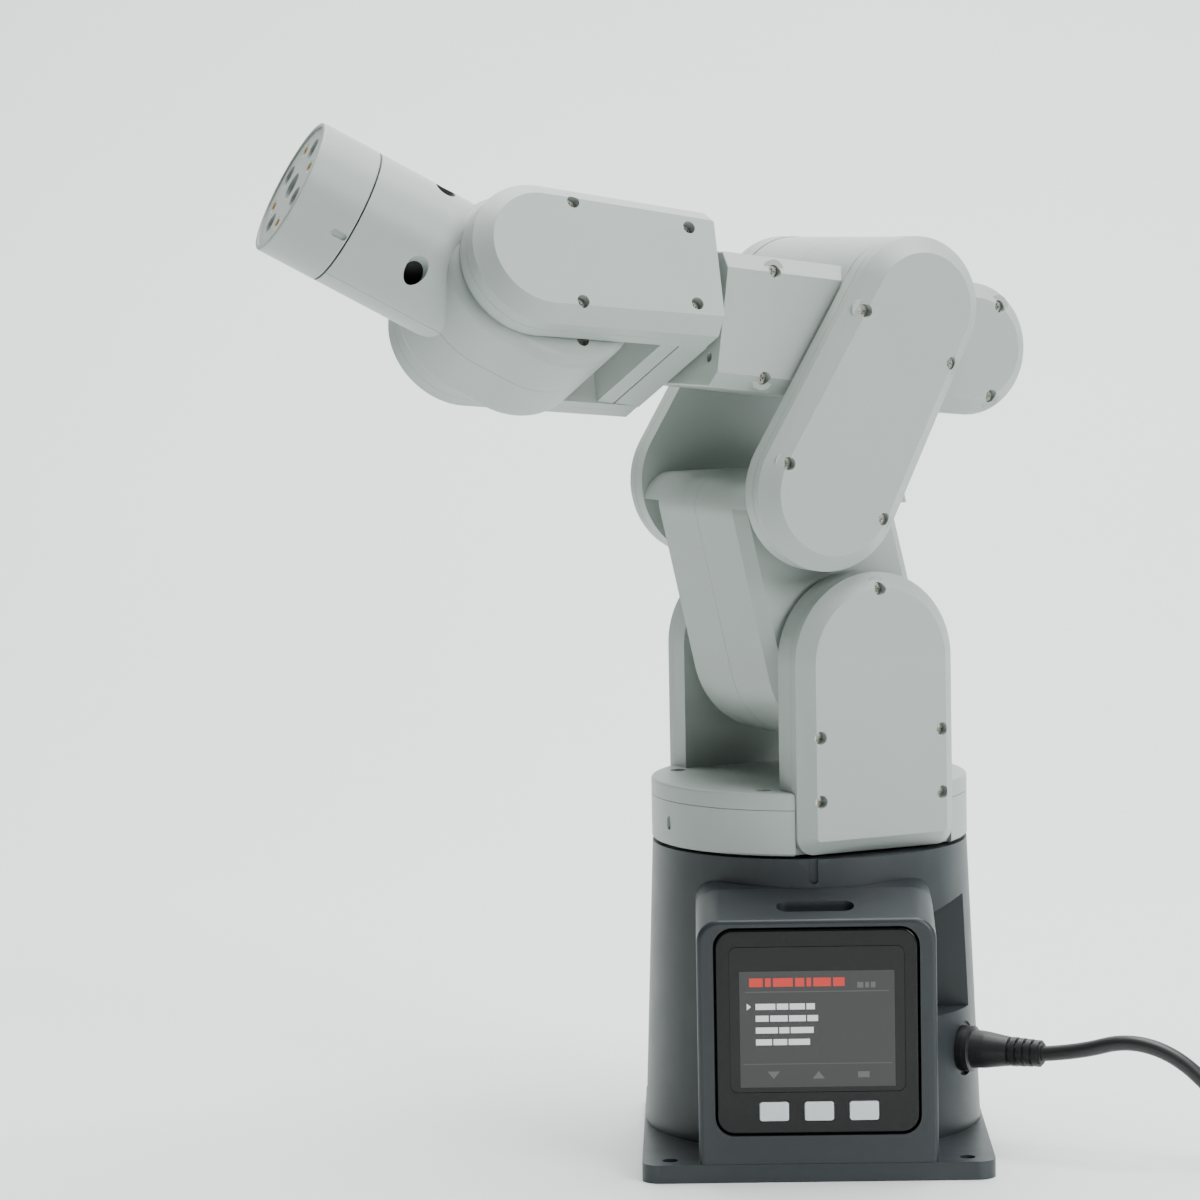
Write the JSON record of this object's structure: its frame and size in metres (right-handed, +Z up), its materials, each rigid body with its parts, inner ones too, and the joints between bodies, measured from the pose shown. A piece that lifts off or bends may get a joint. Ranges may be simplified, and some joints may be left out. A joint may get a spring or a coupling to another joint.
{
  "type": "desktop robot arm",
  "caption": "Desktop robot arm with a column base, a small display with push keys, rotary joints, a forked wrist, a round tool flange and a coiled DC power lead.",
  "frame": {"origin": "where the yaw axis meets the table, on the base's underside", "axes": "+Z up along the yaw axis, +Y to the back, +X to the right; the display looks along -Y"},
  "size_m": [0.3688, 0.1452, 0.2803],
  "materials": {
    "base_black": "fine satin texture",
    "arm_white": "fine satin texture",
    "display_black": "glossy",
    "screen": "glossy display glass",
    "key_grey": "satin",
    "steel": "plated",
    "brass": "turned",
    "servo_black": "satin",
    "board_green": "solder mask",
    "jack_black": "satin",
    "cord_black": "matte",
    "adapter_black": "fine texture",
    "plated": "plated"
  },
  "bodies": {
    "base": {"base_housing": "base_black", "base_bottom_plate": "base_black", "base_plate_screws": "steel", "yaw_servo": "servo_black", "yaw_servo_bracket": "servo_black", "yaw_bearing_outer": "steel", "control_board": "board_green", "power_jack": "jack_black", "display_case": "display_black", "display_panel": "screen", "display_board": "board_green", "key_switches": "jack_black", "dc_plug": "cord_black", "power_lead": "cord_black", "power_lead_tail": "cord_black", "lead_coil": "cord_black", "lead_tie": "cord_black", "power_adapter": "adapter_black", "adapter_pins": "plated"},
    "button_left": {"button_left": "key_grey"},
    "button_middle": {"button_middle": "key_grey"},
    "button_right": {"button_right": "key_grey"},
    "turntable": {"turntable_ring": "arm_white", "turntable_yoke": "arm_white", "ear_cover_front": "arm_white", "ear_cover_rear": "arm_white", "ear_cover_screws": "steel", "deck_screws": "steel", "yaw_bearing_inner": "steel", "yaw_horn": "servo_black", "shoulder_pins": "steel"},
    "upper_arm": {"upper_arm_front_shell": "arm_white", "upper_arm_rear_shell": "arm_white", "side_cover_front": "arm_white", "side_cover_rear": "arm_white", "side_cover_screws": "steel", "shoulder_servo": "servo_black", "elbow_pins": "steel"},
    "forearm": {"forearm_front_shell": "arm_white", "forearm_rear_shell": "arm_white", "forearm_screws": "steel", "elbow_servo": "servo_black", "roll_servo": "servo_black"},
    "fork": {"fork_frame": "arm_white", "fork_cover_front": "arm_white", "fork_cover_rear": "arm_white", "fork_cover_screws": "steel", "roll_hub": "steel", "wrist_pins": "steel"},
    "wrist": {"wrist_front_shell": "arm_white", "wrist_rear_shell": "arm_white", "wrist_screws": "steel", "wrist_servo": "servo_black", "flange_servo": "servo_black"},
    "flange": {"tool_flange": "arm_white", "flange_inserts": "brass"}
  },
  "joints": [
    {"name": "yaw_turn", "type": "hinge", "parent": "base", "child": "turntable", "pos_m": [0, 0, 0.09], "axis": [0, 0, 1], "range_deg": [-102.4, 227.6]},
    {"name": "shoulder_lift", "type": "hinge", "parent": "turntable", "child": "upper_arm", "pos_m": [0, 0, 0.135], "axis": [0.4602, -0.8878, 0], "range_deg": [-80, 88]},
    {"name": "elbow_lift", "type": "hinge", "parent": "upper_arm", "child": "forearm", "pos_m": [0.01225, 0.00635, 0.2291], "axis": [-0.4602, 0.8878, 0], "range_deg": [-16, 175]},
    {"name": "forearm_roll", "type": "hinge", "parent": "forearm", "child": "fork", "pos_m": [-0.03454, -0.01791, 0.22711], "axis": [-0.8802, -0.4563, 0.1305], "range_deg": [-190, 140]},
    {"name": "wrist_bend", "type": "hinge", "parent": "fork", "child": "wrist", "pos_m": [-0.0812, -0.04209, 0.23403], "axis": [-0.4661, 0.7792, -0.419], "range_deg": [-138, 90]},
    {"name": "flange_roll", "type": "hinge", "parent": "wrist", "child": "flange", "pos_m": [-0.12329, -0.05434, 0.25806], "axis": [-0.8419, -0.2451, 0.4807], "range_deg": [-175, 175]},
    {"name": "button_left_press", "type": "slide", "parent": "base", "child": "button_left", "axis": [0, 1, 0], "range_m": [0, 0.0005], "stiffness_N_per_m": 300, "springref_m": -0.0005},
    {"name": "button_middle_press", "type": "slide", "parent": "base", "child": "button_middle", "axis": [0, 1, 0], "range_m": [0, 0.0005], "stiffness_N_per_m": 300, "springref_m": -0.0005},
    {"name": "button_right_press", "type": "slide", "parent": "base", "child": "button_right", "axis": [0, 1, 0], "range_m": [0, 0.0005], "stiffness_N_per_m": 300, "springref_m": -0.0005}
  ]
}
